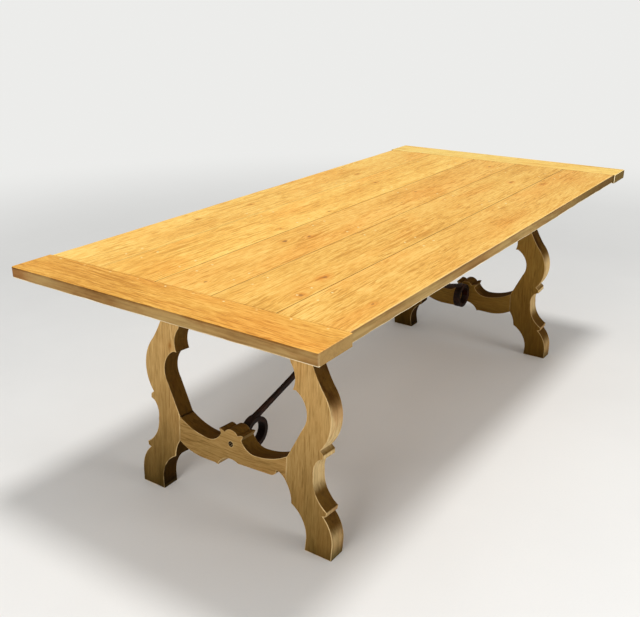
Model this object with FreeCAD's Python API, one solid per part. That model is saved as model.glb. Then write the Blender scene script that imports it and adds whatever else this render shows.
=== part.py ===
import FreeCAD
import Part
import math
import os

# Farmhouse dining table: a planked top with breadboard ends on two leaning lyre trestles,
# each tied to the middle of the top by a forged iron stretcher.
# Millimetres, Z up, origin on the floor under the middle of the top, X along the table.

os.makedirs("parts", exist_ok=True)

# Top
TABLE_HEIGHT = 760.0
TOP_LENGTH = 2170.0
TOP_WIDTH = 1016.0
TOP_THICKNESS = 33.0
PLANK_SHARES = (0.1986, 0.2077, 0.1905, 0.2016, 0.2016)
BREADBOARD_WIDTH = 130.0
BREADBOARD_PROUD = 8.0
BREADBOARD_CORNER_RADIUS = 4.0

# Tongues of the planks in the grooves of the breadboard ends
TONGUE_THICKNESS = 11.0
TONGUE_DEPTH = 40.0
TONGUE_SHOULDER = 30.0
GROOVE_SPARE = 2.0

# Loose tenons across the plank seams
TENON_THICKNESS = 11.0
TENON_WIDTH = 92.0
TENON_REACH = 54.0
TENON_SPARE = 1.5
TENON_ROWS = 4
TENON_CLEARANCE = 62.36

# Square shaved pegs
PEG_SIZE = 6.5
PEG_SIDES = 4
PEG_DEPTH = 26.0
CLUSTER_PITCH = 62.0
BREADBOARD_PEG_INSET = 10.0
PLANK_PEG_SHARES = (0.25, 0.75)

# Lyre trestles
FOOT_SETBACK = 262.0
SPLAY_ANGLE = math.radians(4.52)
BOARD_THICKNESS = 58.3
FOOT_INSET = 148.0
SAW_ALLOWANCE = 12.0
BATTEN_OVERHANG = 30.0
BATTEN_HEIGHT = 55.0
BATTEN_END_CUT = 24.0

# Joints of the trestles
JOINT_TENON_THICKNESS = 19.0
JOINT_TENON_SHOULDER = 13.0
JOINT_TENON_DEPTH = 50.0
NECK_TENON_HEIGHT = 38.0
MORTISE_SPARE = 1.5

# Screws of the battens, plain eight-sided like the palm screws
SCREW_SIDES = 8
BATTEN_SCREW_SHARES = (-0.885, -0.333, 0.0, 0.333, 0.885)
BATTEN_SCREW_RADIUS = 3.0
BATTEN_SCREW_BITE = 22.0
BATTEN_SCREW_HEAD_RADIUS = 6.5
BATTEN_SCREW_HEAD = 4.5
BATTEN_COUNTERBORE_RADIUS = 8.0
BATTEN_COUNTERBORE = 12.0

# Forged stretchers
RING_RADIUS = 49.5
RING_BAND = 14.0
RING_WIDTH = 28.0
RING_FLAT_SINK = 1.5
RING_PAD = 15.2
BAR_DEPTH = 14.0
BAR_WIDTH = 13.5
BAR_ROOT_WIDTH = 15.5
BAR_TAPER = 60.0
BAR_STRAIGHT = 196.0
BAR_SLOPE = math.radians(16.0)
BEND_RATIO_SHARE = 0.385
PALM_GAP = 40.0
PALM_LENGTH = 84.0
PALM_WIDTH = 34.0
PALM_THICKNESS = 6.0
PALM_TAPER = 24.0
PALM_SCREW_INSET = 20.0
PALM_SCREW_ROOM = 3.0
PALM_SCREW_RADIUS = 2.5
PALM_SCREW_BITE = 20.0
PALM_SCREW_HEAD_RADIUS = 5.5
PALM_SCREW_HEAD = 3.0

# Bolt through ring and crossbar, plain twelve-sided like its holes
BOLT_SIDES = 12
BOLT_RADIUS = 6.0
BOLT_CLEARANCE = 0.3
BOLT_END_SINK = 10.0
BOLT_HEAD_SIZE = 17.0
BOLT_HEAD = 8.0
BOLT_HEAD_SIDES = 6
WASHER_SIDES = 4
WASHER_RADIUS = 11.5
WASHER_THICKNESS = 2.5

# One overrun serves every cut that starts outside the wood
OVERRUN = 20.0

UP = FreeCAD.Vector(0, 0, 1)

# Sizes worked out from those above
UNDERSIDE = TABLE_HEIGHT - TOP_THICKNESS
FIELD_WIDTH = TOP_WIDTH - 2 * BREADBOARD_PROUD
PLANK_WIDTHS = [share * FIELD_WIDTH for share in PLANK_SHARES]
FOOT_SPREAD = TOP_WIDTH / 2 - FOOT_INSET
BATTEN_LENGTH = 2 * (FOOT_SPREAD + BATTEN_OVERHANG)
HALF_LENGTH = TOP_LENGTH / 2
FOOT_OUT = HALF_LENGTH - FOOT_SETBACK
SHOULDER_X = HALF_LENGTH - BREADBOARD_WIDTH
MID_TOP = UNDERSIDE + TOP_THICKNESS / 2
BOARD_RISE = UNDERSIDE / math.cos(SPLAY_ANGLE)
BATTEN_RISE = BOARD_RISE - BATTEN_HEIGHT / 2
LEAN_IN = BATTEN_RISE * math.sin(SPLAY_ANGLE) + BOARD_THICKNESS / 2 * math.cos(SPLAY_ANGLE)
BATTEN_OUT = FOOT_OUT - LEAN_IN
TENON_OUT = BATTEN_OUT + TENON_CLEARANCE
TENON_PITCH = 2 * TENON_OUT / (TENON_ROWS - 1)

# Outlines of the lyre trestle on its board, drawn for the left half: shares of FOOT_SPREAD out
# from the middle, then of BOARD_RISE up from the floor. A row with two points is an arc through
# the first of them, and a row with one is a straight edge.
JOINT_SHARE = 0.556
JOINT_TOP_SHARE = 0.366
JOINT_FOOT_SHARE = 0.256
BOLT_SHARE = 0.329
NECK_INNER_SHARE = 0.475
NECK_OUTER_SHARE = 0.675
SOLE_OUTER_SHARE = 0.997
SOLE_INNER_SHARE = 0.750

LEG_OUTER_SHARES = (
    ((0.734, 0.794), (0.853, 0.674)),
    ((0.942, 0.550), (0.856, 0.437)),
    ((0.885, 0.425),),
    ((0.887, 0.406),),
    ((0.847, 0.397),),
    ((0.809, 0.366), (0.803, 0.323)),
    ((0.830, 0.254), (0.939, 0.196)),
    ((0.935, 0.179),),
    ((0.906, 0.174),),
    ((0.978, 0.124), (1.003, 0.062)),
    ((SOLE_OUTER_SHARE, 0.0),),
)

LEG_INNER_SHARES = (
    ((0.759, 0.055),),
    ((0.717, 0.127), (0.609, 0.176)),
    ((0.606, 0.193),),
    ((0.589, 0.226), (JOINT_SHARE, JOINT_FOOT_SHARE)),
    ((JOINT_SHARE, JOINT_TOP_SHARE),),
    ((0.689, 0.498),),
    ((0.724, 0.561), (0.619, 0.642)),
    ((0.589, 0.641),),
    ((0.608, 0.675), (0.564, 0.743)),
    ((0.506, 0.832), (NECK_INNER_SHARE, 0.924)),
)

CROSSBAR_TOP_SHARES = (
    ((0.403, 0.330), (0.244, 0.317)),
    ((0.153, 0.331), (0.106, 0.360)),
    ((0.125, 0.379),),
    ((0.097, 0.379), (0.068, 0.372)),
    ((0.0, 0.391), (-0.068, 0.372)),
)

CROSSBAR_FOOT_SHARES = (
    ((0.417, 0.227), (0.278, 0.220)),
    ((0.167, 0.221),),
    ((0.138, 0.217),),
    ((0.114, 0.237), (0.072, 0.254)),
    ((0.0, 0.263), (-0.072, 0.254)),
)

PLAIN_FOOT_SHARES = (
    ((-0.400, 0.262),),
    ((-0.440, 0.270), (-0.460, 0.292)),
    ((-0.515, 0.280), (-JOINT_SHARE, JOINT_FOOT_SHARE)),
)


def save(shapes, name):
    """Write one node: a single solid, or a group of separate ones."""
    shape = shapes if isinstance(shapes, Part.Shape) else Part.makeCompound(shapes)
    shape.exportStep("parts/" + name + ".step")


def box(low, high):
    """Box between two opposite corners."""
    size = high - low
    return Part.makeBox(size.x, size.y, size.z, low)


def column(sides, radius, low, direction, height):
    """Many-sided column standing on the point low; its radius reaches the flats."""
    reach = radius / math.cos(math.pi / sides)
    turn = FreeCAD.Rotation(UP, direction)
    corners = []
    for step in range(sides + 1):
        angle = math.pi * (2 * step + 1) / sides
        corner = FreeCAD.Vector(reach * math.cos(angle), reach * math.sin(angle), 0)
        corners.append(low + turn.multVec(corner))
    return Part.Face(Part.makePolygon(corners)).extrude(direction * height)


def mirror_left_right(shape):
    return shape.mirror(FreeCAD.Vector(0, 0, 0), FreeCAD.Vector(0, 1, 0))


def mirror_near_far(shape):
    return shape.mirror(FreeCAD.Vector(0, 0, 0), FreeCAD.Vector(1, 0, 0))


# Planked top

def plank_edges():
    """Left and right edge of each plank, from the left side of the top."""
    edges = []
    left = FIELD_WIDTH / 2
    for width in PLANK_WIDTHS:
        edges.append((left, left - width))
        left -= width
    return edges


def tenon_places():
    """Middle of each loose tenon: the outer ones clear the screws of the battens."""
    seams = [right for left, right in plank_edges()[:-1]]
    return [(TENON_PITCH * row - TENON_OUT, seam) for seam in seams for row in range(TENON_ROWS)]


def tenon_block(place, spare):
    x, y = place
    half_width = TENON_WIDTH / 2 + spare
    reach = TENON_REACH + spare
    low = FreeCAD.Vector(x - half_width, y - reach, MID_TOP - TENON_THICKNESS / 2)
    high = FreeCAD.Vector(x + half_width, y + reach, MID_TOP + TENON_THICKNESS / 2)
    return box(low, high)


def peg(x, y):
    """Peg driven flush with the top."""
    low = FreeCAD.Vector(x, y, TABLE_HEIGHT - PEG_DEPTH)
    return column(PEG_SIDES, PEG_SIZE / 2, low, UP, PEG_DEPTH)


def seam_pegs():
    half = CLUSTER_PITCH / 2
    pegs = []
    for x, y in tenon_places():
        pegs += [peg(x + along, y + across) for along in (-half, half) for across in (-half, half)]
    return pegs


def end_pegs():
    """Two pegs in each plank's tongue, at both ends of the top."""
    out = SHOULDER_X + BREADBOARD_PEG_INSET
    pegs = []
    for left, right in plank_edges():
        for share in PLANK_PEG_SHARES:
            y = left + (right - left) * share
            pegs += [peg(-out, y), peg(out, y)]
    return pegs


def tongue_span(spare):
    """Half of the width that the tongues fill, which the groove follows."""
    return FIELD_WIDTH / 2 - TONGUE_SHOULDER + spare


def plank(left, right, cutters):
    body = box(FreeCAD.Vector(-SHOULDER_X, right, UNDERSIDE),
               FreeCAD.Vector(SHOULDER_X, left, TABLE_HEIGHT))
    span = tongue_span(0)
    reach = SHOULDER_X + TONGUE_DEPTH
    tongue = box(FreeCAD.Vector(-reach, max(right, -span), MID_TOP - TONGUE_THICKNESS / 2),
                 FreeCAD.Vector(reach, min(left, span), MID_TOP + TONGUE_THICKNESS / 2))
    return body.fuse(tongue).removeSplitter().cut(cutters)


def breadboard(cutters):
    """Near breadboard end with its stopped groove and rounded outer corners."""
    half = TOP_WIDTH / 2
    body = box(FreeCAD.Vector(-HALF_LENGTH, -half, UNDERSIDE),
               FreeCAD.Vector(-SHOULDER_X, half, TABLE_HEIGHT))
    outer = [edge for edge in body.Edges if is_outer_corner(edge)]
    body = body.makeFillet(BREADBOARD_CORNER_RADIUS, outer)
    span = tongue_span(GROOVE_SPARE)
    groove_end = SHOULDER_X + TONGUE_DEPTH + GROOVE_SPARE
    groove = box(FreeCAD.Vector(-groove_end, -span, MID_TOP - TONGUE_THICKNESS / 2),
                 FreeCAD.Vector(-SHOULDER_X + OVERRUN, span, MID_TOP + TONGUE_THICKNESS / 2))
    return body.cut(groove).cut(cutters)


def is_outer_corner(edge):
    """Upright edge at the outer end of the near breadboard."""
    upright = edge.BoundBox.ZLength > TOP_THICKNESS / 2
    return upright and edge.BoundBox.XMax < -SHOULDER_X - BREADBOARD_WIDTH / 2


# Leaning trestle boards, drawn flat with the outer face at x = 0 and then leaned

def board_point(share):
    return FreeCAD.Vector(0, share[0] * FOOT_SPREAD, share[1] * BOARD_RISE)


def swap_side(rows):
    """The same edge on the right half, walked the other way round its own row."""
    return [tuple((-y, z) for y, z in row) for row in rows]


def reverse_rows(start, rows):
    """Walk an edge backwards: the new start, then its rows in reverse."""
    ends = [start] + [row[-1] for row in rows]
    back = []
    for number in range(len(rows) - 1, -1, -1):
        back.append(rows[number][:-1] + (ends[number],))
    return ends[-1], back


def edges_along(start, rows):
    """Straight edges and arcs from a start point through the rows of shares."""
    edges = []
    here = board_point(start)
    for row in rows:
        there = board_point(row[-1])
        if len(row) == 2:
            edges.append(Part.Arc(here, board_point(row[0]), there).toShape())
        else:
            edges.append(Part.makeLine(here, there))
        here = there
    return edges


def board_solid(edges):
    face = Part.Face(Part.Wire(edges))
    return face.extrude(FreeCAD.Vector(BOARD_THICKNESS, 0, 0))


def lean(shape):
    """Set a flat board piece on the floor as the near trestle stands."""
    placed = shape.copy()
    placed.rotate(FreeCAD.Vector(0, 0, 0), FreeCAD.Vector(0, 1, 0), math.degrees(SPLAY_ANGLE))
    placed.translate(FreeCAD.Vector(-FOOT_OUT, 0, 0))
    return placed


def saw_level(shape):
    """Saw the sole on the floor and the top edge under the planks."""
    room = FreeCAD.Vector(FOOT_OUT * 2, FOOT_SPREAD * 4, 0)
    low = FreeCAD.Vector(-room.x, -room.y, 0)
    high = FreeCAD.Vector(room.x, room.y, UNDERSIDE)
    return shape.common(box(low, high))


def batten_foot():
    """Height of the batten's lower edge along the board."""
    return BOARD_RISE - BATTEN_HEIGHT


def flat_leg():
    """Left leg board with its neck tenon and the crossbar's mortise."""
    foot = batten_foot()
    neck_outer = FreeCAD.Vector(0, NECK_OUTER_SHARE * FOOT_SPREAD, foot)
    neck_inner = FreeCAD.Vector(0, NECK_INNER_SHARE * FOOT_SPREAD, foot)
    outer = edges_along((NECK_OUTER_SHARE, foot / BOARD_RISE), LEG_OUTER_SHARES)
    inner_rows = LEG_INNER_SHARES[:-1] + ((LEG_INNER_SHARES[-1][0],
                                           (NECK_INNER_SHARE, foot / BOARD_RISE)),)
    inner = edges_along((SOLE_INNER_SHARE, 0.0), inner_rows)
    outer_sole = FreeCAD.Vector(0, SOLE_OUTER_SHARE * FOOT_SPREAD, 0)
    inner_sole = FreeCAD.Vector(0, SOLE_INNER_SHARE * FOOT_SPREAD, 0)
    drop = FreeCAD.Vector(0, 0, -SAW_ALLOWANCE)
    sole = [
        Part.makeLine(outer_sole, outer_sole + drop),
        Part.makeLine(outer_sole + drop, inner_sole + drop),
        Part.makeLine(inner_sole + drop, inner_sole),
    ]
    neck = [Part.makeLine(neck_inner, neck_outer)]
    body = board_solid(outer + sole + inner + neck)
    return body.fuse(neck_tenon(0)).cut(crossbar_tenon(MORTISE_SPARE)).removeSplitter()


def tenon_slab():
    """Front and back of every trestle tenon, in the middle of the board."""
    front = (BOARD_THICKNESS - JOINT_TENON_THICKNESS) / 2
    return front, front + JOINT_TENON_THICKNESS


def neck_tenon(spare):
    front, back = tenon_slab()
    foot = batten_foot()
    inner = NECK_INNER_SHARE * FOOT_SPREAD + JOINT_TENON_SHOULDER - spare
    outer = NECK_OUTER_SHARE * FOOT_SPREAD - JOINT_TENON_SHOULDER + spare
    return box(FreeCAD.Vector(front, inner, foot),
               FreeCAD.Vector(back, outer, foot + NECK_TENON_HEIGHT + spare))


def crossbar_tenon(spare):
    front, back = tenon_slab()
    shoulder = JOINT_SHARE * FOOT_SPREAD
    low = JOINT_FOOT_SHARE * BOARD_RISE + JOINT_TENON_SHOULDER - spare
    high = JOINT_TOP_SHARE * BOARD_RISE - JOINT_TENON_SHOULDER + spare
    return box(FreeCAD.Vector(front, shoulder, low),
               FreeCAD.Vector(back, shoulder + JOINT_TENON_DEPTH + spare, high))


def flat_crossbar(right_foot_rows):
    """Scalloped crossbar with a tenon at each end and the bolt hole."""
    joint_top = (JOINT_SHARE, JOINT_TOP_SHARE)
    joint_foot = (JOINT_SHARE, JOINT_FOOT_SHARE)
    left_top = edges_along(joint_top, CROSSBAR_TOP_SHARES)
    side_rows = CROSSBAR_TOP_SHARES[:-1]
    back_start, back_rows = reverse_rows((-JOINT_SHARE, JOINT_TOP_SHARE), swap_side(side_rows))
    right_top = edges_along(back_start, back_rows)
    foot_rows = list(CROSSBAR_FOOT_SHARES) + right_foot_rows
    foot = edges_along(joint_foot, foot_rows)
    left_end = Part.makeLine(board_point(joint_top), board_point(joint_foot))
    right_end = Part.makeLine(board_point((-JOINT_SHARE, JOINT_TOP_SHARE)),
                              board_point((-JOINT_SHARE, JOINT_FOOT_SHARE)))
    body = board_solid(Part.__sortEdges__(left_top + right_top + [right_end] + foot + [left_end]))
    tenon = crossbar_tenon(0)
    start = FreeCAD.Vector(-OVERRUN, 0, bolt_rise())
    hole = bolt_hole(start, FreeCAD.Vector(1, 0, 0), BOARD_THICKNESS + 2 * OVERRUN)
    return body.multiFuse([tenon, mirror_left_right(tenon)]).removeSplitter().cut(hole)


def scalloped_foot_rows():
    """Right half of the crossbar's lower edge where it repeats the left half."""
    rows = swap_side(CROSSBAR_FOOT_SHARES[:-1])
    return reverse_rows((-JOINT_SHARE, JOINT_FOOT_SHARE), rows)[1]


def flat_batten():
    """Batten with its neck mortises; the lower corners of its ends are cut off."""
    half = BATTEN_LENGTH / 2
    foot = batten_foot()
    top = BOARD_RISE + SAW_ALLOWANCE
    outline = [
        FreeCAD.Vector(0, half, top),
        FreeCAD.Vector(0, half, foot + BATTEN_END_CUT),
        FreeCAD.Vector(0, half - BATTEN_END_CUT, foot),
        FreeCAD.Vector(0, BATTEN_END_CUT - half, foot),
        FreeCAD.Vector(0, -half, foot + BATTEN_END_CUT),
        FreeCAD.Vector(0, -half, top),
    ]
    body = board_solid([Part.makePolygon(outline + outline[:1])])
    mortise = neck_tenon(MORTISE_SPARE)
    return body.cut([mortise, mirror_left_right(mortise)])


# Screws that hold each batten to the planks, upright under the near end

def batten_screw_head_z():
    return UNDERSIDE - BATTEN_HEIGHT + BATTEN_COUNTERBORE


def batten_screw_places():
    z = batten_screw_head_z()
    half = BATTEN_LENGTH / 2
    return [FreeCAD.Vector(-BATTEN_OUT, share * half, z) for share in BATTEN_SCREW_SHARES]


def batten_screw_shank(place):
    length = UNDERSIDE + BATTEN_SCREW_BITE - place.z
    return column(SCREW_SIDES, BATTEN_SCREW_RADIUS, place, UP, length)


def batten_screw(place):
    head = column(SCREW_SIDES, BATTEN_SCREW_HEAD_RADIUS, place, -UP, BATTEN_SCREW_HEAD)
    return batten_screw_shank(place).fuse(head).removeSplitter()


def batten_screw_hole(place):
    """Hole for the shank and a counterbore below it for the head."""
    depth = BATTEN_COUNTERBORE + OVERRUN
    mouth = column(SCREW_SIDES, BATTEN_COUNTERBORE_RADIUS, place, -UP, depth)
    return batten_screw_shank(place).fuse(mouth)


# Forged stretcher, drawn from the side under the near end

def on_board(depth, rise):
    """Point at a depth behind the near trestle's outer face and a rise along its board."""
    sine = math.sin(SPLAY_ANGLE)
    cosine = math.cos(SPLAY_ANGLE)
    return FreeCAD.Vector(depth * cosine + rise * sine - FOOT_OUT, 0, rise * cosine - depth * sine)


def inward():
    """Direction square to the crossbar's inner face."""
    return FreeCAD.Vector(math.cos(SPLAY_ANGLE), 0, -math.sin(SPLAY_ANGLE))


def bolt_rise():
    return BOLT_SHARE * BOARD_RISE


def ring_middle():
    return on_board(BOARD_THICKNESS + RING_RADIUS - RING_FLAT_SINK, bolt_rise())


def side_plate(edges, width):
    """Solid from a side outline, centred on the table's long axis."""
    half = FreeCAD.Vector(0, width / 2, 0)
    face = Part.Face(Part.Wire(edges))
    face.translate(-half)
    return face.extrude(half * 2)


def disc(radius, middle, width):
    start = middle - FreeCAD.Vector(0, width / 2, 0)
    return Part.makeCylinder(radius, width, start, FreeCAD.Vector(0, 1, 0))


def slab_behind(depth, size):
    """Block that keeps what lies deeper than depth behind the trestle's outer face."""
    low = FreeCAD.Vector(depth, -size, bolt_rise() - size)
    high = FreeCAD.Vector(depth + 2 * size, size, bolt_rise() + size)
    return lean(box(low, high))


def ring():
    """Ring with a flat against the crossbar and a flat seat inside it for the washer."""
    middle = ring_middle()
    outer = disc(RING_RADIUS, middle, RING_WIDTH).common(slab_behind(BOARD_THICKNESS, RING_RADIUS * 2))
    eye = disc(RING_RADIUS - RING_BAND, middle, RING_WIDTH + OVERRUN)
    eye = eye.common(slab_behind(BOARD_THICKNESS + RING_PAD, RING_RADIUS * 2))
    return outer, eye


def bar_path():
    """Middle line of the bar: points with their headings, and the two bend radii."""
    middle = ring_middle()
    inset = RING_RADIUS - BAR_DEPTH / 2
    start = middle + FreeCAD.Vector(-inset * math.sin(BAR_SLOPE), 0, inset * math.cos(BAR_SLOPE))
    bend_start = start + FreeCAD.Vector(math.cos(BAR_SLOPE), 0, math.sin(BAR_SLOPE)) * BAR_STRAIGHT
    palm_start = FreeCAD.Vector(-PALM_GAP / 2 - PALM_LENGTH, 0, UNDERSIDE - BAR_DEPTH / 2)
    run = palm_start.x - bend_start.x
    climb = palm_start.z - bend_start.z
    reach = run * math.sin(BAR_SLOPE) - (math.cos(BAR_SLOPE) + BEND_RATIO_SHARE) * climb
    loss = 2 * BEND_RATIO_SHARE * (math.cos(BAR_SLOPE) - 1)
    span = run * run + climb * climb
    first_radius = span / (math.sqrt(reach * reach - span * loss) - reach)
    second_radius = first_radius * BEND_RATIO_SHARE
    steepest = math.asin((run / first_radius + math.sin(BAR_SLOPE)) / (1 + BEND_RATIO_SHARE))
    return start, bend_start, palm_start, first_radius, second_radius, steepest


def beside(point, heading, side):
    """Point square to the heading, on the upper side where side is positive."""
    return point + FreeCAD.Vector(-math.sin(heading), 0, math.cos(heading)) * side


def bar_side(side):
    """Places along one side of the bar: start, bend start, mid, turn, mid, palm start."""
    start, bend_start, palm_start, first_radius, second_radius, steepest = bar_path()
    first_centre = beside(bend_start, BAR_SLOPE, first_radius)
    second_centre = beside(palm_start, 0, -second_radius)
    first_mid = (BAR_SLOPE + steepest) / 2
    places = [
        beside(start, BAR_SLOPE, side),
        beside(bend_start, BAR_SLOPE, side),
        beside(first_centre, first_mid, side - first_radius),
        beside(first_centre, steepest, side - first_radius),
        beside(second_centre, steepest / 2, side + second_radius),
        beside(palm_start, 0, side),
    ]
    return places


def bar_and_palm():
    """Side outline of the bar, its two bends and the palm flattened under the top."""
    upper = bar_side(BAR_DEPTH / 2)
    lower = bar_side(-BAR_DEPTH / 2)
    palm_end = FreeCAD.Vector(-PALM_GAP / 2, 0, UNDERSIDE)
    palm_foot = palm_end - FreeCAD.Vector(0, 0, PALM_THICKNESS)
    taper_end = FreeCAD.Vector(lower[5].x + PALM_TAPER, 0, palm_foot.z)
    edges = [
        Part.makeLine(upper[0], upper[1]),
        Part.Arc(upper[1], upper[2], upper[3]).toShape(),
        Part.Arc(upper[3], upper[4], upper[5]).toShape(),
        Part.makeLine(upper[5], palm_end),
        Part.makeLine(palm_end, palm_foot),
        Part.makeLine(palm_foot, taper_end),
        Part.makeLine(taper_end, lower[5]),
        Part.Arc(lower[5], lower[4], lower[3]).toShape(),
        Part.Arc(lower[3], lower[2], lower[1]).toShape(),
        Part.makeLine(lower[1], lower[0]),
        Part.makeLine(lower[0], upper[0]),
    ]
    return side_plate(edges, PALM_WIDTH)


def bar_plan():
    """Widths of the bar seen from above: root on the ring, slim length and broad rounded palm."""
    ring_inner = ring_middle().x + RING_RADIUS
    palm_start = bar_path()[2].x
    palm_end = -PALM_GAP / 2
    widths = (
        (-FOOT_OUT, BAR_ROOT_WIDTH),
        (ring_inner, BAR_ROOT_WIDTH),
        (ring_inner + BAR_TAPER, BAR_WIDTH),
        (palm_start - PALM_TAPER, BAR_WIDTH),
        (palm_start + PALM_TAPER, PALM_WIDTH),
        (palm_end - PALM_WIDTH / 2, PALM_WIDTH),
    )
    left = [FreeCAD.Vector(x, width / 2, 0) for x, width in widths]
    right = [FreeCAD.Vector(x, -width / 2, 0) for x, width in reversed(widths)]
    tip = FreeCAD.Vector(palm_end, 0, 0)
    rounded = Part.Arc(left[-1], tip, right[0]).toShape()
    sides = Part.makePolygon(left).Edges + [rounded] + Part.makePolygon(right + left[:1]).Edges
    return Part.Face(Part.Wire(sides)).extrude(FreeCAD.Vector(0, 0, TABLE_HEIGHT))


def palm_screw_places():
    """One screw near the palm's tip and one just before its taper."""
    tip = -PALM_GAP / 2
    taper_end = tip - PALM_LENGTH + PALM_TAPER
    outer = tip - PALM_SCREW_INSET
    inner = taper_end + PALM_SCREW_HEAD_RADIUS + PALM_SCREW_ROOM
    return [FreeCAD.Vector(x, 0, UNDERSIDE) for x in (outer, inner)]


def palm_screw_shank(place, foot):
    length = place.z + PALM_SCREW_BITE - foot
    return column(SCREW_SIDES, PALM_SCREW_RADIUS, FreeCAD.Vector(place.x, 0, foot), UP, length)


def palm_screw(place):
    """Screw driven up through the palm into the middle plank."""
    seat = place.z - PALM_THICKNESS
    low = FreeCAD.Vector(place.x, 0, seat - PALM_SCREW_HEAD)
    head = column(SCREW_SIDES, PALM_SCREW_HEAD_RADIUS, low, UP, PALM_SCREW_HEAD)
    return palm_screw_shank(place, seat).fuse(head).removeSplitter()


def stretcher():
    """Near stretcher: ring, bar and palm forged from one bar."""
    outer, eye = ring()
    bar = bar_and_palm().common(bar_plan())
    forged = outer.fuse(bar).cut(eye)
    holes = [palm_screw_shank(place, place.z - OVERRUN) for place in palm_screw_places()]
    reach = BOARD_THICKNESS + RING_RADIUS
    holes.append(bolt_hole(on_board(0, bolt_rise()), inward(), reach))
    return forged.cut(holes).removeSplitter()


def bolt_hole(start, direction, length):
    return column(BOLT_SIDES, BOLT_RADIUS + BOLT_CLEARANCE, start, direction, length)


def bolt():
    """Hexagon-headed bolt from inside the ring, its end just under the crossbar's face."""
    seat = BOARD_THICKNESS + RING_PAD + WASHER_THICKNESS
    start = on_board(BOLT_END_SINK, bolt_rise())
    shank = column(BOLT_SIDES, BOLT_RADIUS, start, inward(), seat - BOLT_END_SINK)
    low = on_board(seat, bolt_rise())
    head = column(BOLT_HEAD_SIDES, BOLT_HEAD_SIZE / 2, low, inward(), BOLT_HEAD)
    return shank.fuse(head).removeSplitter()


def washer():
    """Square plate washer on the seat inside the ring."""
    low = on_board(BOARD_THICKNESS + RING_PAD, bolt_rise())
    plate = column(WASHER_SIDES, WASHER_RADIUS, low, inward(), WASHER_THICKNESS)
    return plate.cut(bolt_hole(low, inward(), WASHER_THICKNESS))


def save_pair(shape, name):
    """Save a near piece and its mirror image at the far end."""
    save(shape, name + "_near")
    save(mirror_near_far(shape), name + "_far")


def make_top():
    pegs = seam_pegs()
    tongue_pegs = end_pegs()
    mortises = [tenon_block(place, TENON_SPARE) for place in tenon_places()]
    near_screws = [batten_screw_hole(place) for place in batten_screw_places()]
    near_screws += [palm_screw_shank(place, UNDERSIDE - OVERRUN) for place in palm_screw_places()]
    screws = near_screws + [mirror_near_far(screw) for screw in near_screws]
    cutters = Part.makeCompound(pegs + tongue_pegs + mortises + screws)
    for number, (left, right) in enumerate(plank_edges(), start=1):
        save(plank(left, right, cutters), "top_plank_" + str(number))
    save_pair(breadboard(Part.makeCompound(tongue_pegs)), "breadboard_end")
    tenons = [tenon_block(place, 0).cut(Part.makeCompound(pegs)) for place in tenon_places()]
    save(tenons, "plank_tenons")
    save(pegs, "plank_pegs")
    save(tongue_pegs, "breadboard_pegs")


def make_trestles():
    leg = saw_level(lean(flat_leg()))
    save_pair(leg, "leg_left")
    save_pair(mirror_left_right(leg), "leg_right")
    save(lean(flat_crossbar(list(PLAIN_FOOT_SHARES))), "crossbar_near")
    save(mirror_near_far(lean(flat_crossbar(scalloped_foot_rows()))), "crossbar_far")
    screw_holes = [batten_screw_hole(place) for place in batten_screw_places()]
    save_pair(saw_level(lean(flat_batten())).cut(screw_holes), "top_batten")
    save_pair(Part.makeCompound([batten_screw(place) for place in batten_screw_places()]), "batten_screws")


def make_irons():
    save_pair(stretcher(), "iron_stretcher")
    save_pair(bolt(), "stretcher_bolt")
    save_pair(washer(), "stretcher_washer")
    save_pair(Part.makeCompound([palm_screw(place) for place in palm_screw_places()]), "palm_screws")


make_top()
make_trestles()
make_irons()
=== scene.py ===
import math

import bmesh
import bpy
from bpy.props import FloatProperty, FloatVectorProperty, IntProperty, PointerProperty
from mathutils import Euler, Matrix, Vector, noise


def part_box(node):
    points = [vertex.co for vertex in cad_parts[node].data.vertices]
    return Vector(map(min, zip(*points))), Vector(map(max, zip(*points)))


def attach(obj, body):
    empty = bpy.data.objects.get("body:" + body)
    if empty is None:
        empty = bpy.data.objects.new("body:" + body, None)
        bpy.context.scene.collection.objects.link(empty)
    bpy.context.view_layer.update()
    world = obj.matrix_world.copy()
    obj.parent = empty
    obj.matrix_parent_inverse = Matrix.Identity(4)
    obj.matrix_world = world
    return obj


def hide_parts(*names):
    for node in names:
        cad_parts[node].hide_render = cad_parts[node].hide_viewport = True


bl_info = {
    "name": "Farmhouse Table",
    "version": (1, 0, 0),
    "blender": (4, 5, 0),
    "location": "View3D > Sidebar > Table",
    "description": "Dresses the farmhouse table with worn wood, forged iron and a plain studio",
    "category": "Object",
}

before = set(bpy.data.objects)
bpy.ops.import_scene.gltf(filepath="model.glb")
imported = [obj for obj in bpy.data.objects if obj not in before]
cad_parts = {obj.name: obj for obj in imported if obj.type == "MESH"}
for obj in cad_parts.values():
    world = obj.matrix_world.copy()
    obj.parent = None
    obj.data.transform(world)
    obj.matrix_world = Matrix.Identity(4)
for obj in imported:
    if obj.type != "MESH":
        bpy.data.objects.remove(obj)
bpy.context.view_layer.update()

PLANKS = [f"top_plank_{number}" for number in range(1, 6)]
ENDS = ("near", "far")
TOP_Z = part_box("top_plank_1")[1].z
UNDERSIDE_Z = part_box("top_plank_1")[0].z
SHOULDER_X = -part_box("breadboard_end_near")[1].x
SPLAY = math.radians(4.52)

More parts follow.
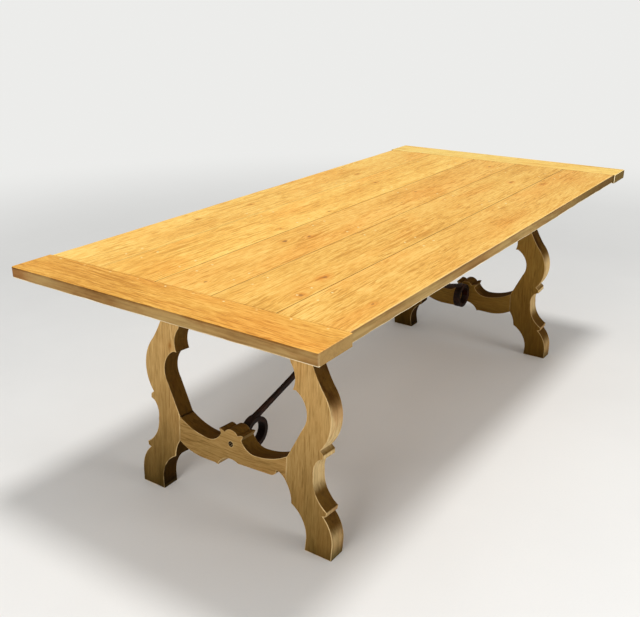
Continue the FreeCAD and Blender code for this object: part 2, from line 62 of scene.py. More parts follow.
# Camera of the photo; the lamps' names, places, powers and widths; and the height that they aim at
CAMERA_PLACE = (-2.343, -1.393, 1.461)
CAMERA_TURN = (1.197812, 0.006339, -0.962586)
CAMERA_LENS = 46.34
LAMPS = (("overhead", (-0.1, -0.95, 7.4), 262.0, 1.5), ("front_fill", (-5.4, -0.4, 2.2), 118.0, 2.6),
         ("right_fill", (0.2, -4.8, 1.5), 88.0, 2.2))
AIM_Z = 0.55
SKY = (0.96, 0.98, 1.0)
SKY_STRENGTH = 0.42
FLOOR_RADIUS = 40.0

# In the frame's meshes, corners closer than JOINED are one, faces that meet flatter than FLAT are
# one, edges sharper than SHARP are eased, and faces over BROAD square metres are the broad ones
JOINED = 1e-5
FLAT = math.radians(0.6)
SHARP = math.radians(33)
BROAD = 0.004

# How many times rounder than the outer arris the planks' outer arrises are, and how rubbed above
UPPER_ROUND = 1.7
LOWER_ROUND = 2.0
UPPER_WEAR = 0.15

# A board of the top has a section at about every such length
STATION_GAP = 0.022

# How deep a bolt's end and the recess round it lie in the crossbar, and the turns, start, pitch and
# depth of a bolt's thread
BOLT_DEPTH = 0.01
MOUTH_DEPTH = 0.012
THREAD_TURNS = 14
THREAD_START = 0.0016
THREAD_PITCH = 0.00175
THREAD_DEPTH = 0.0008

# Knots of each plank from left to right: metres along and across the top, then radius and redness
KNOTS = (
    [(-0.196, 0.397, 0.007, 0.1), (-0.446, 0.418, 0.006, 0.1), (0.42, 0.352, 0.008, 0.2)],
    [(-0.385, 0.126, 0.007, 0.1), (-0.127, 0.119, 0.008, 0.1), (0.33, 0.215, 0.007, 0.0)],
    [(-0.484, 0.033, 0.011, -0.5), (-0.404, 0.001, 0.01, 0.1), (-0.884, -0.015, 0.007, 0.1),
     (0.283, 0.015, 0.008, 0.0), (0.839, -0.027, 0.011, 0.0)],
    [(-0.828, -0.277, 0.012, 1.0), (-0.686, -0.249, 0.013, 1.0), (0.616, -0.214, 0.011, 0.5)],
    [(0.651, -0.325, 0.01, 0.2), (-0.78, -0.452, 0.007, 0.2)],
)

# Each plank's shade, partly its own tone and partly painted light, the left planks lighter and the right ones
# darker to even out the lamps, which light the right side more; and how dirty its left and right seams are
SHADES = (
    ((1.05, 1.1, 1.12), (0.0, 0.5)),
    ((1.04, 1.06, 0.99), (0.45, 0.85)),
    ((0.96, 0.93, 0.84), (0.8, 0.75)),
    ((0.94, 0.94, 0.87), (0.7, 1.0)),
    ((0.93, 0.93, 0.88), (0.95, 0.0)),
)

# Brown clouds in the polish of the planks and the breadboard ends, the near end's last one painted shade:
# metres along and across the top, half sizes and strength
STAINS = (
    [(-0.62, 0.36, 0.1, 0.03, 0.35), (0.55, 0.4, 0.22, 0.04, 0.3)],
    [(-0.87, 0.19, 0.09, 0.08, 0.75), (-0.36, 0.135, 0.08, 0.03, 0.55), (0.1, 0.17, 0.2, 0.05, 0.35)],
    [(-0.83, 0.04, 0.12, 0.06, 0.45), (-0.4, 0.0, 0.07, 0.03, 0.5), (0.45, 0.02, 0.25, 0.05, 0.4)],
    [(-0.8, -0.27, 0.1, 0.05, 0.4), (0.25, -0.17, 0.2, 0.05, 0.5)],
    [(-0.83, -0.45, 0.14, 0.04, 0.45), (0.05, -0.4, 0.25, 0.06, 0.5), (0.78, -0.42, 0.12, 0.05, 0.35)],
)
END_CLOUDS = {
    "near": [(-0.975, 0.37, 0.05, 0.09, 0.3), (-1.04, 0.46, 0.05, 0.06, 0.3),
             # Painted shade over the near end's right end
             (-1.02, -0.4, 0.07, 0.14, 0.5)],
    "far": [],
}

# Patterns of the wood: whether they follow the growth lines, their scale along and across the grain,
# seed, detail and roughness, and how far they push the tone
PATTERNS = {
    "patch": (False, 2.2, 7.0, 31.0, 2.0, 0.55, 0.0),
    "streak": (True, 3.4, 105.0, 12.9, 4.0, 0.6, 0.0),
    "dash": (True, 15.0, 210.0, 17.7, 2.0, 0.55, 0.0),
    "warmth": (False, 2.0, 6.0, 44.0, 3.0, 0.55, 0.0),
    "fibre": (True, 6.0, 210.0, 9.3, 5.0, 0.7, 1.45),
    "fleck": (True, 26.0, 240.0, 25.1, 3.0, 0.7, 2.1),
    "band": (True, 0.8, 17.0, 14.4, 2.0, 0.55, 0.5),
    "mottle": (False, 6.0, 18.0, 21.3, 5.0, 0.65, 0.85),
    "cloud": (False, 1.5, 4.0, 52.0, 2.0, 0.55, 0.7),
}

# Width of a growth ring, and how dark it is from its early wood to its late wood
RING_WIDTH = 0.0085
RING_TONES = [(place, (tone, tone, tone)) for place, tone in ((0, 0), (0.55, 0.28), (0.86, 1), (1, 0))]

# Stains of the wood and painted shade, which multiply its tone
WARM_STAIN = (1.0, 0.86, 0.72)
CLOUD_TINT = (0.92, 0.8, 0.63)
KNOT_STAIN = (0.87, 0.64, 0.4)
SEAM_SOIL = (0.46, 0.34, 0.12)
END_SOIL = (0.6, 0.45, 0.26)
STREAK_STAIN = (0.55, 0.52, 0.45)
MOTTLE_STAIN = (0.7, 0.56, 0.48)
PATCH_STAIN = (0.74, 0.61, 0.52)
# Darkens the top's sides just under the arris
UNDER_ARRIS_DARK = (0.46, 0.3, 0.16)
RED_STAIN = (0.86, 0.62, 0.56)
# Painted shade on the planks' sides toward the far end
FAR_SIDE_SHADE = (0.22, 0.17, 0.06)
PORE_STAIN = (0.8, 0.76, 0.66)
# Painted shade on the trestles: on their edges toward the top or low down, and on their feet
EDGE_SHADE_TINT = (0.27, 0.18, 0.04)
FOOT_SHADE_TINT = (0.5, 0.5, 0.42)
# Darkens the trestles just above the floor
BOTTOM_DARKENING = (0.4, 0.41, 0.26)
# Painted shade: the far breadboard's sides much darker than the near one's
FAR_END_SIDE_SHADE = (0.2, 0.16, 0.06)

# Colours that cover what is below them
KNOT_CORE = (0.32, 0.14, 0.03)
# Painted shade inside a bolt's hole
HOLE_DARK = (0.01, 0.004, 0.002)
RUBBED_IRON = (0.06, 0.042, 0.03)
DULL_STEEL = (0.035, 0.02, 0.013)
STAINED_PEG = (0.88, 0.5, 0.11)


def colour(label, red, green, blue):
    about = f"{label}, as it looks in plain light"
    return FloatVectorProperty(name=label, description=about, default=(red, green, blue), min=0.0, max=1.0,
                               size=3, subtype="COLOR")


def length(label, about, metres):
    return FloatProperty(name=label, description=about, default=metres, min=0.0, unit="LENGTH", precision=5)


class TableSizes(bpy.types.PropertyGroup):
    """Sizes of the worn details that the frame leaves plain."""
    seam_arris: length("Seam arris", "How far the planks' meeting edges are eased", 0.0009)
    outer_arris: length("Outer arris", "How far the top's outer edges are worn round", 0.0024)
    corner: length("Corner", "How far the corners of the breadboard ends are rounded", 0.004)
    trestle_arris: length("Trestle arris", "How far the edges of the legs and crossbars are eased", 0.0024)
    iron_arris: length("Iron arris", "How far the forged edges are hammered round", 0.0013)
    top_sink: length("Top sink", "How far the planed wood lies below the ends of the pegs", 0.0004)
    peg_width: length("Peg width", "Width of a shaved peg", 0.0076)
    bolt_width: length("Bolt width", "Width of a stretcher bolt's shank", 0.012)
    bolt_hole: length("Bolt hole", "Width of the hole for a stretcher bolt", 0.0126)
    bolt_mouth: length("Bolt hole's mouth", "Width of the recess round a bolt's sunk end", 0.0168)
    bolt_head_width: length("Bolt head width", "Width of a bolt's six-sided head over its corners", 0.017)
    bolt_head: length("Bolt head", "Thickness of a bolt's head", 0.008)
    batten_screw: length("Batten screw head", "Width of the head of a batten's screw", 0.013)
    palm_screw: length("Palm screw head", "Width of the head of a palm's screw", 0.011)
    peg_seed: IntProperty(name="Peg seed", description="Fixed seed of the pegs' turns and widths", default=7)


class TableColours(bpy.types.PropertyGroup):
    """Colours of the wood, the iron and the studio."""
    plank_light: colour("Plank light", 1.0, 0.64, 0.18)
    plank_middle: colour("Plank middle", 0.9, 0.49, 0.1)
    plank_dark: colour("Plank dark", 0.66, 0.315, 0.05)
    end_light: colour("Breadboard light", 0.9, 0.51, 0.105)
    end_middle: colour("Breadboard middle", 0.765, 0.375, 0.056)
    end_dark: colour("Breadboard dark", 0.55, 0.235, 0.028)
    far_end_light: colour("Far breadboard light", 1.0, 0.76, 0.25)
    far_end_middle: colour("Far breadboard middle", 0.97, 0.645, 0.155)
    far_end_dark: colour("Far breadboard dark", 0.66, 0.36, 0.06)
    top_edge: colour("Top edge", 0.365, 0.245, 0.096)
    # Pale arris: wear, and on the top's outer lower arrises and rounded corners also a painted highlight
    worn: colour("Worn arris", 1.0, 0.86, 0.58)
    dirt: colour("Seam dirt", 0.25, 0.12, 0.015)
    leg_light: colour("Leg light", 0.66, 0.43, 0.17)
    leg_middle: colour("Leg middle", 0.5, 0.305, 0.105)
    leg_dark: colour("Leg dark", 0.31, 0.175, 0.05)
    # Edge tones of the trestles: the first is painted light, on edges facing down or outward, the second
    # painted shade, on the other edges and on the battens
    leg_edge: colour("Leg outer edge", 0.8, 0.59, 0.31)
    leg_inner_edge: colour("Leg inner edge", 0.125, 0.058, 0.004)
    # Painted shade on the trestles' faces turned from the outside
    leg_inner_stain: colour("Inner stain", 0.6, 0.54, 0.3)
    leg_worn: colour("Worn leg arris", 0.8, 0.57, 0.27)
    # Painted shade that darkens the trestles toward the floor
    lower_leg_shade: colour("Foot stain", 0.36, 0.32, 0.21)
    peg: colour("Peg", 1.0, 0.78, 0.34)
    iron: colour("Iron", 0.011, 0.006, 0.004)
    rust: colour("Iron bloom", 0.036, 0.014, 0.008)
    # The bolts' iron is darker than the stretchers': painted shade for the ends sunk in the crossbars and the
    # heads inside the rings
    bolt_iron: colour("Bolt iron", 0.012, 0.003, 0.0008)
    bolt_rust: colour("Bolt rust", 0.024, 0.005, 0.001)
    steel: colour("Darkened steel", 0.085, 0.07, 0.06)
    floor: colour("Floor", 0.8, 0.79, 0.765)
    backdrop: colour("Backdrop", 0.84, 0.84, 0.825)


# Colours and directions

def rgba(tone):
    """Colour with its fourth part; a node's socket stays as it is."""
    return tone if isinstance(tone, bpy.types.NodeSocket) else (*tone[:3], 1.0)


def shaded(tone, *shares):
    """Colour whose parts are multiplied by one share, or each by its own."""
    shares = shares if len(shares) > 1 else shares * 3
    return tuple(min(1.0, part * share) for part, share in zip(tone, shares))


def tones_of(kind):
    """Light, middle and dark tone of a kind of wood."""
    return [getattr(settings()[1], f"{kind}_{depth}") for depth in ("light", "middle", "dark")]


def settings():
    """Sizes and colours that the panel shows."""
    return bpy.context.scene.table_sizes, bpy.context.scene.table_colours


def trestles():
    """Each end, the way that it looks, and the directions up its lean and square out of its face."""
    for end, way in zip(ENDS, (-1, 1)):
        lean, rise = math.sin(SPLAY), math.cos(SPLAY)
        yield end, way, Vector((-way * lean, 0, rise)), Vector((way * rise, 0, lean))


# Finishes

class Nodes:
    """Node tree of a material, the world or a node group, built step by step."""

    def __init__(self, owner):
        self.owner = owner
        if hasattr(owner, "use_nodes"):
            owner.use_nodes = True
        self.tree = getattr(owner, "node_tree", owner)
        self.tree.nodes.clear()

    def node(self, kind, inputs=None, **settings):
        made = self.tree.nodes.new(kind if "Node" in kind else "ShaderNode" + kind)
        for key, value in settings.items():
            setattr(made, key, value)
        for key, value in (inputs or {}).items():
            if isinstance(value, bpy.types.NodeSocket):
                self.tree.links.new(value, made.inputs[key])
            else:
                made.inputs[key].default_value = value
        return made

    def math(self, operation, first, second=0.0, third=0.0):
        return self.node("Math", {0: first, 1: second, 2: third}, operation=operation).outputs[0]

    def times(self, first, second):
        return self.math("MULTIPLY", first, second)

    def more(self, base, value, share):
        """Base with a share of a value added."""
        return self.math("MULTIPLY_ADD", value, share, base)

    def sway(self, base, pattern, share, middle=0.5):
        """Base that a pattern pushes up and down about its middle."""
        return self.more(base, self.math("SUBTRACT", pattern, middle), share)

    def vectors(self, operation, *given):
        return self.node("VectorMath", dict(enumerate(given)), operation=operation).outputs

    def toward(self, normal, direction):
        """How far the surface faces a direction, from -1 to 1."""
        return self.vectors("DOT_PRODUCT", normal, direction)["Value"]

    def reach(self, vector):
        return self.vectors("LENGTH", vector)["Value"]

    def split(self, vector):
        return self.node("SeparateXYZ", {0: vector}).outputs[:3]

    def joined(self, *parts):
        return self.node("CombineXYZ", dict(enumerate(parts))).outputs[0]

    def noise(self, vector, seed, scale=1.0, detail=3.0, roughness=0.55):
        inputs = {"Vector": vector, "W": seed, "Scale": scale, "Detail": detail, "Roughness": roughness}
        return self.node("TexNoise", inputs, noise_dimensions="4D").outputs[0]

    def fade(self, value, low, high, start=0.0, end=1.0):
        inputs = {"Value": value, "From Min": low, "From Max": high, "To Min": start, "To Max": end}
        return self.node("MapRange", inputs, interpolation_type="SMOOTHSTEP").outputs[0]

    def mix(self, factor, first, second, blend="MIX"):
        inputs = {0: factor, 6: rgba(first), 7: rgba(second)}
        return self.node("Mix", inputs, data_type="RGBA", blend_type=blend).outputs[2]

    def tint(self, factor, body, stain):
        return self.mix(factor, body, stain, "MULTIPLY")

    def ramp(self, factor, stops):
        made = self.node("ValToRGB", {0: factor})
        elements = made.color_ramp.elements
        while len(elements) < len(stops):
            elements.new(1.0)
        for element, (place, tone) in zip(elements, stops):
            element.position = place
            element.color = rgba(tone)
        return made.outputs[0]

    def attribute(self, name):
        return self.node("Attribute", attribute_name=name).outputs["Fac"]

    def shader(self, tone, roughness, height, strength, distance, metallic=0.0, gloss=0.5):
        bump = self.node("Bump", {"Height": height, "Strength": strength, "Distance": distance})
        inputs = {"Base Color": tone, "Roughness": roughness, "Normal": bump.outputs[0],
                  "Metallic": metallic, "Specular IOR Level": gloss}
        return self.node("BsdfPrincipled", inputs).outputs[0]

    def surface(self, *given, **options):
        self.node("OutputMaterial", {"Surface": self.shader(*given, **options)})
        return self.owner


def knotted(nodes, far, wide, line, knots, seed):
    """Growth lines parted round each knot, and how strongly the knots' surrounds and cores show."""
    around, cores = 0.0, 0.0
    for number, (knot_far, knot_wide, radius, redness) in enumerate(knots):
        off_far = nodes.math("SUBTRACT", far, knot_far)
        off_wide = nodes.math("SUBTRACT", wide, knot_wide)
        bend = nodes.joined(nodes.times(off_far, 0.3 / radius), nodes.times(off_wide, 0.62 / radius))
        near = nodes.math("POWER", math.e, nodes.times(nodes.toward(bend, bend), -0.55))
        line = nodes.math("SUBTRACT", line, nodes.times(off_wide, nodes.times(near, 0.85)))
        core = nodes.joined(nodes.times(off_far, 0.62 / radius), nodes.math("DIVIDE", off_wide, radius))
        rough = nodes.noise(core, seed + number, scale=1.7, detail=4.0, roughness=0.65)
        away = nodes.sway(nodes.reach(core), rough, 1.5)
        glow = nodes.fade(away, 2.3, 0.2, 0.0, max(0.1, 0.5 + 0.45 * redness))
        around = nodes.math("MAXIMUM", around, glow)
        dark = nodes.fade(away, 0.7, 0.25, 0.0, 0.72 if redness >= 0 else 1.0)
        cores = nodes.math("MAXIMUM", cores, dark)
    return line, around, cores


def clouded(nodes, place, mottle, body, clouds):
    """Polish with brown clouds."""
    for stain_x, stain_y, half_x, half_y, strength in clouds:
        sizes = {"Vector": place, "Location": (-stain_x / half_x, -stain_y / half_y, 0.0),
                 "Scale": (1 / half_x, 1 / half_y, 0.0)}
        away = nodes.sway(nodes.reach(nodes.node("Mapping", sizes).outputs[0]), mottle, 2.2)
        body = nodes.tint(nodes.fade(away, 1.5, 0.2, 0.0, strength), body, CLOUD_TINT)
    return body


def seamed(nodes, seen, far, wide, body, light, half, seams):
    """Plank rubbed pale and soiled beside its seams, and soiled at its ends."""
    fade, times, mottle = nodes.fade, nodes.times, seen["mottle"]
    inward = nodes.math("SUBTRACT", half[1], nodes.math("ABSOLUTE", wide))
    rubbed = times(fade(inward, 0.0075, 0.002), fade(seen["band"], 0.42, 0.6))
    body = nodes.mix(times(rubbed, 0.5), body, light)
    darkening = times(fade(inward, 0.0026, 0.0012), fade(wide, -0.01, 0.01, seams[1], seams[0]))
    body = nodes.tint(times(darkening, fade(mottle, 0.3, 0.55, 0.55, 1.0)), body, SEAM_SOIL)
    ends = fade(nodes.math("ABSOLUTE", far), half[0] - 0.005, half[0] - 0.0012)
    return nodes.tint(times(ends, fade(mottle, 0.3, 0.6, 0.2, 0.7)), body, END_SOIL)


def blotched_sides(nodes, seen, far, height, sides, half):
    """Side faces of the top: blotched, dark under the arris, and on planks painted shade toward the far end.
    """
    fade, tint = nodes.fade, nodes.tint
    sides = tint(fade(seen["patch"], 0.46, 0.62, 0.0, 0.85), sides, PATCH_STAIN)
    under_arris = fade(height, TOP_Z - 0.0075, TOP_Z - 0.0035)
    sides = tint(nodes.times(under_arris, fade(seen["mottle"], 0.35, 0.55, 0.3, 1.0)), sides, UNDER_ARRIS_DARK)
    if half is None:
        return tint(fade(far, 0.36, 0.49, 0.0, 0.8), sides, RED_STAIN)
    # Painted shade: the planks' sides darker toward the far end
    return tint(fade(far, 0.05, 0.8), sides, FAR_SIDE_SHADE)


def painted_trestle_shade(nodes, seen, normal, height, body, edged, room, foot_shade, edge_shade_range):
    """Painted shade on a trestle's inner faces, its edges under the top or low, its feet; its very bottom
    darker.
    """
    fade, tint, colours = nodes.fade, nodes.tint, settings()[1]
    # Painted shade on faces turned from the outside
    body = tint(fade(nodes.toward(normal, room), 0.3, -0.6), body, colours.leg_inner_stain)
    low = nodes.sway(height, seen["mottle"], 0.22)
    # Painted shade toward the floor, less on the edges
    tinted = nodes.times(fade(low, 0.62, -0.05), nodes.more(1.0, edged, -0.6))
    body = tint(tinted, body, colours.lower_leg_shade)
    # Painted shade on the edges, toward the top or low down as the range gives
    body = tint(nodes.times(fade(low, 0.4, 0.58, *edge_shade_range), edged), body, EDGE_SHADE_TINT)
    # Painted shade on the feet
    body = tint(fade(low, 0.3, 0.02, 0.0, foot_shade), body, FOOT_SHADE_TINT)
    # Darker just above the floor
    return tint(fade(low, 0.075, -0.02, 0.0, 0.85), body, BOTTOM_DARKENING)


def bored(nodes, place, body, room, centre, radius):
    """Pale rim of a bolt's hole, and painted shade inside it."""
    offset = nodes.vectors("SUBTRACT", place, centre)[0]
    aside = nodes.reach(nodes.vectors("CROSS_PRODUCT", offset, room)[0])
    rim = nodes.fade(aside, radius + 0.003, radius + 0.0008, 0.0, 0.3)
    body = nodes.mix(rim, body, settings()[1].leg_worn)
    # Painted shade inside the hole and its recess
    return nodes.mix(nodes.fade(aside, radius + 0.0006, radius + 0.0001), body, HOLE_DARK)


def wood(name, seed, middle, along, across, tones, sides, knots=(), pith=0.085, tilt=0.02, under=None,
         gloss=0.2, contrast=1.0, room=None, pale=None, half=None, bore=None, clouds=(), seams=(0.0, 0.0),
         arris_paleness=0.85, foot_shade=0.0, edge_shade_range=(0.0, 1.0)):
    """Worn, waxed wood whose grain runs along one direction; sides is the tone of its cut edges.

    On a trestle, room is the way its outer face looks, and faces turned from it get painted shade; pale is
    the way that edges look which get the lit edge tone as painted light, the other edges getting painted
    shade; bore is the place and radius of a hole square to that face. half is half of a plank's length and
    width, seams how dirty its left and right seams are, and clouds are brown clouds on the top, one of them
    painted shade on the near end. arris_paleness is how pale the arrises are painted, as wear and, on the
    top's outer lower arrises and corners, as a painted highlight; foot_shade is how far painted shade
    darkens a leg's foot, and edge_shade_range how dark painted shade makes a leg's edges low down and
    under the top.
    """
    colours = settings()[1]
    nodes = Nodes(bpy.data.materials.new(name))
    fade, mix, tint, times, more = nodes.fade, nodes.mix, nodes.tint, nodes.times, nodes.more
    along, across = Vector(along), Vector(across)
    outward = along.cross(across)
    spot = nodes.node("TexCoord").outputs
    place, normal = spot["Object"], spot["Normal"]
    centred = nodes.node("Mapping", {"Vector": place, "Location": -Vector(middle)}).outputs[0]
    turn = Matrix((along, across, outward)).to_euler()
    far, wide, deep = nodes.split(nodes.node("Mapping", {"Vector": centred, "Rotation": turn}).outputs[0])
    facing = nodes.toward(normal, outward)
    height = nodes.split(place)[2]

    def pattern(crosswise, run, breadth, offset, detail, roughness=0.55):
        vector = nodes.joined(times(far, run), times(crosswise, breadth), times(deep, breadth))
        return nodes.noise(vector, seed + offset, detail=detail, roughness=roughness)

    # Growth lines wander, and part round each knot
    line = nodes.sway(wide, pattern(wide, 1.3, 3.5, 0.0, 3.0), 0.06)
    line, around_knots, knot_cores = knotted(nodes, far, wide, line, knots, seed)

    # Growth rings, cut by the board's face into long arches
    heart = nodes.sway(pith, pattern(wide, 0.9, 0.6, 3.1, 1.0), 0.11)
    heart = nodes.math("ADD", more(heart, far, tilt), deep)
    square = nodes.math("ADD", nodes.math("POWER", line, 2.0), nodes.math("POWER", heart, 2.0))
    turns = nodes.math("DIVIDE", nodes.math("SQRT", square), RING_WIDTH)
    turns = more(turns, pattern(line, 3.0, 28.0, 5.7, 3.0), 1.3)
    late = nodes.ramp(nodes.math("FRACT", turns), RING_TONES)

    # Tone: 0 is the palest wood and 1 the darkest
    tone = nodes.sway(0.35, late, 0.14 * contrast, middle=0.36)
    seen = {}
    for key, (follows, *shape, push) in PATTERNS.items():
        seen[key] = pattern(line if follows else wide, *shape)
        if push:
            tone = nodes.sway(tone, seen[key], push * contrast)
    shown = fade(seen["patch"], 0.35, 0.62, 0.25, 1.0)
    dark_line = times(fade(seen["streak"], 0.53, 0.64), shown)
    tone = more(tone, dark_line, 0.6 * contrast)
    tone = more(tone, times(fade(seen["dash"], 0.57, 0.65), shown), 0.85 * contrast)
    body = nodes.ramp(tone, tuple(zip((0.0, 0.42, 1.0), tones)))
    body = tint(fade(seen["warmth"], 0.46, 0.68, 0.0, 0.7), body, WARM_STAIN)
    body = clouded(nodes, place, seen["mottle"], body, clouds)
    if knots:
        body = mix(knot_cores, tint(around_knots, body, KNOT_STAIN), KNOT_CORE)
    if half is not None:
        body = seamed(nodes, seen, far, wide, body, tones[0], half, seams)

    # Cut edges and the underside get tones of their own
    edged = fade(nodes.math("ABSOLUTE", facing), 0.8, 0.45)
    edge = rgba(sides)
    # On a trestle, edges facing the pale way get the lit tone and the others the shaded tone: painted light
    # and shade
    if pale is not None:
        edge = mix(fade(nodes.toward(normal, pale), 0.14, 0.54), colours.leg_inner_edge, edge)
    side_tone = tint(fade(seen["streak"], 0.4, 0.66, 0.0, 0.8), edge, STREAK_STAIN)
    side_tone = tint(fade(seen["mottle"], 0.42, 0.62, 0.0, 0.9), side_tone, MOTTLE_STAIN)
    if room is None:
        side_tone = blotched_sides(nodes, seen, far, height, side_tone, half)
    grain_end = fade(nodes.math("ABSOLUTE", nodes.toward(normal, along)), 0.7, 0.9, 0.0, 0.75)
    pores = nodes.noise(place, seed + 61.0, scale=420.0, detail=3.0)
    side_tone = mix(grain_end, side_tone, tint(pores, edge, PORE_STAIN))
    body = mix(times(edged, 0.9), body, side_tone)
    if under is not None:
        body = mix(fade(facing, -0.4, -0.8, 0.0, 0.8), body, under)
    if room is not None:
        body = painted_trestle_shade(nodes, seen, normal, height, body, edged, room, foot_shade, edge_shade_range)
    if bore is not None:
        body = bored(nodes, place, body, room, *bore)
    # Arrises painted pale by their marks: wear, and on the top's outer lower arrises and corners a painted
    # highlight too
    arris_pale_share = fade(seen["mottle"], 0.36, 0.58, 0.3 if room is None else 0.05, arris_paleness)
    worn = colours.worn if room is None else colours.leg_worn
    body = mix(times(nodes.attribute("wear"), arris_pale_share), body, worn)
    grime = times(nodes.attribute("dirt"), fade(seen["fleck"], 0.4, 0.58, 0.45, 1.0))
    body = mix(grime, body, colours.dirt)

    roughness = more(more(0.42, seen["fibre"], 0.22), dark_line, 0.08)
    roughness = more(roughness, edged, 0.4)
    grooves = more(times(late, 0.2), seen["fibre"], 0.55)
    grooves = more(grooves, fade(seen["dash"], 0.58, 0.68), -0.5)
    return nodes.surface(body, roughness, grooves, 0.35, 0.0006, gloss=gloss)


def forged_iron(name, dark, bloom, gloss=0.08):
    """Dark waxed iron with hammer marks, pits and a brown bloom."""
    nodes = Nodes(bpy.data.materials.new(name))
    place = nodes.node("TexCoord").outputs["Object"]
    dents = {"Vector": place, "Scale": 75.0, "Smoothness": 0.35}
    hammer = nodes.node("TexVoronoi", dents, feature="SMOOTH_F1").outputs["Distance"]
    scale = nodes.noise(place, 4.0, scale=260.0, detail=4.0, roughness=0.6)
    cloud = nodes.noise(place, 8.0, scale=28.0, detail=4.0, roughness=0.6)
    tone = nodes.mix(nodes.fade(cloud, 0.42, 0.68), dark, bloom)
    tone = nodes.mix(nodes.fade(scale, 0.6, 0.75, 0.0, 0.6), tone, shaded(dark, 0.4))
    tone = nodes.mix(nodes.times(nodes.attribute("wear"), 0.4), tone, RUBBED_IRON)
    roughness = nodes.fade(cloud, 0.3, 0.7, 0.48, 0.7)
    return nodes.surface(tone, roughness, nodes.more(hammer, scale, 0.25), 0.6, 0.0012, gloss=gloss)


def darkened_steel(name, tone):
    """Oiled steel of the screws, with rubbed and dull patches."""
    nodes = Nodes(bpy.data.materials.new(name))
    place = nodes.node("TexCoord").outputs["Object"]
    cloud = nodes.noise(place, 2.0, scale=140.0, detail=4.0, roughness=0.65)
    brush = nodes.noise(place, 6.0, scale=900.0, detail=2.0)
    body = nodes.mix(nodes.fade(cloud, 0.4, 0.65), tone, DULL_STEEL)
    return nodes.surface(body, nodes.more(0.25, cloud, 0.35), brush, 0.2, 0.0002, metallic=0.7)


def peg_wood(name, tone, tinted):
    """Pale end grain of the pegs, some of them stained like the planks."""
    nodes = Nodes(bpy.data.materials.new(name))
    place = nodes.node("TexCoord").outputs["Object"]
    grain = nodes.noise(place, 3.0, scale=900.0, detail=3.0)
    patch = nodes.noise(place, 5.0, scale=16.0, detail=1.0)
    body = nodes.mix(nodes.fade(grain, 0.35, 0.7), tone, shaded(tone, 0.72))
    body = nodes.mix(nodes.fade(patch, 0.44, 0.6, 0.0, tinted), body, STAINED_PEG)
    return nodes.surface(body, nodes.more(0.38, grain, 0.2), grain, 0.3, 0.0003, gloss=0.35)


def pale_floor(name, colours):
    """Plain floor that meets the backdrop's tone far from the table, as the camera sees it."""
    nodes = Nodes(bpy.data.materials.new(name))
    place = nodes.node("TexCoord").outputs["Object"]
    cloud = nodes.noise(place, 1.0, scale=1.2, detail=4.0)
    fine = nodes.noise(place, 2.0, scale=160.0, detail=3.0)
    tone = nodes.mix(nodes.fade(cloud, 0.35, 0.65), colours.floor, shaded(colours.floor, 0.97))
    tone = nodes.mix(nodes.fade(fine, 0.5, 0.8, 0.0, 0.3), tone, shaded(colours.floor, 0.9))
    lit = nodes.shader(tone, 0.85, fine, 0.15, 0.001, gloss=0.2)
    path = nodes.node("LightPath").outputs
    seen = nodes.math("MAXIMUM", path["Is Camera Ray"], path["Is Glossy Ray"])
    seen = nodes.math("MAXIMUM", seen, path["Is Transmission Ray"])
    share = nodes.times(nodes.fade(nodes.reach(place), 1.9, 5.2), seen)
    plain = nodes.node("Emission", {"Color": rgba(colours.backdrop)}).outputs[0]
    faded = nodes.node("MixShader", {0: share, 1: lit, 2: plain}).outputs[0]
    nodes.node("OutputMaterial", {"Surface": faded})
    return nodes.owner


# Meshes

def frame_mesh(node):
    """Mesh of a frame node, with its doubled corners joined."""
    maker = bmesh.new()
    maker.from_mesh(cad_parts[node].data)
    bmesh.ops.remove_doubles(maker, verts=maker.verts, dist=JOINED)
    return maker


def piece_from(maker, name):
    mesh = bpy.data.meshes.new(name)
    maker.to_mesh(mesh)
    maker.free()
    piece = bpy.data.objects.new(name, mesh)
    bpy.context.scene.collection.objects.link(piece)
    return piece


def finish_piece(piece, material, slot, *nodes):
    """Give a piece its material, and let it stand for its nodes on the table."""
    piece.data.materials.clear()
    piece.data.materials.append(material)
    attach(piece, "root")
    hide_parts(*nodes)
    return piece


def plain_mesh(piece):
    """Turn a piece with modifiers into the mesh that they make."""
    bpy.context.view_layer.update()
    evaluated = piece.evaluated_get(bpy.context.evaluated_depsgraph_get())
    mesh = bpy.data.meshes.new_from_object(evaluated)
    piece.modifiers.clear()
    old = piece.data
    piece.data = mesh
    bpy.data.meshes.remove(old)
    return piece


def cut_away(piece, maker, name):
    """Cut a solid out of a piece."""
    cutter = piece_from(maker, name)
    cut = piece.modifiers.new(name, "BOOLEAN")
    cut.operation = "DIFFERENCE"
    cut.solver = "EXACT"
    cut.object = cutter
    plain_mesh(piece)
    bpy.data.objects.remove(cutter)


def shade(piece, degrees):
    piece.data.shade_smooth()
    piece.data.set_sharp_from_angle(angle=math.radians(degrees))


def evenly_shaded(piece):
    """Smooth shading that leaves the broad flat faces flat."""
    piece.data.shade_smooth()
    weighted = piece.modifiers.new("even_shading", "WEIGHTED_NORMAL")
    weighted.weight = 100
    return plain_mesh(piece)


def skinned(maker, rings):
    """Solid whose skin runs through a row of rings."""
    for first, second in zip(rings, rings[1:]):
        for number in range(len(first)):
            following = (number + 1) % len(first)
            maker.faces.new((first[number], first[following], second[following], second[number]))
    maker.faces.new(rings[0])
    maker.faces.new(rings[-1])
    bmesh.ops.recalc_face_normals(maker, faces=maker.faces)
    return maker


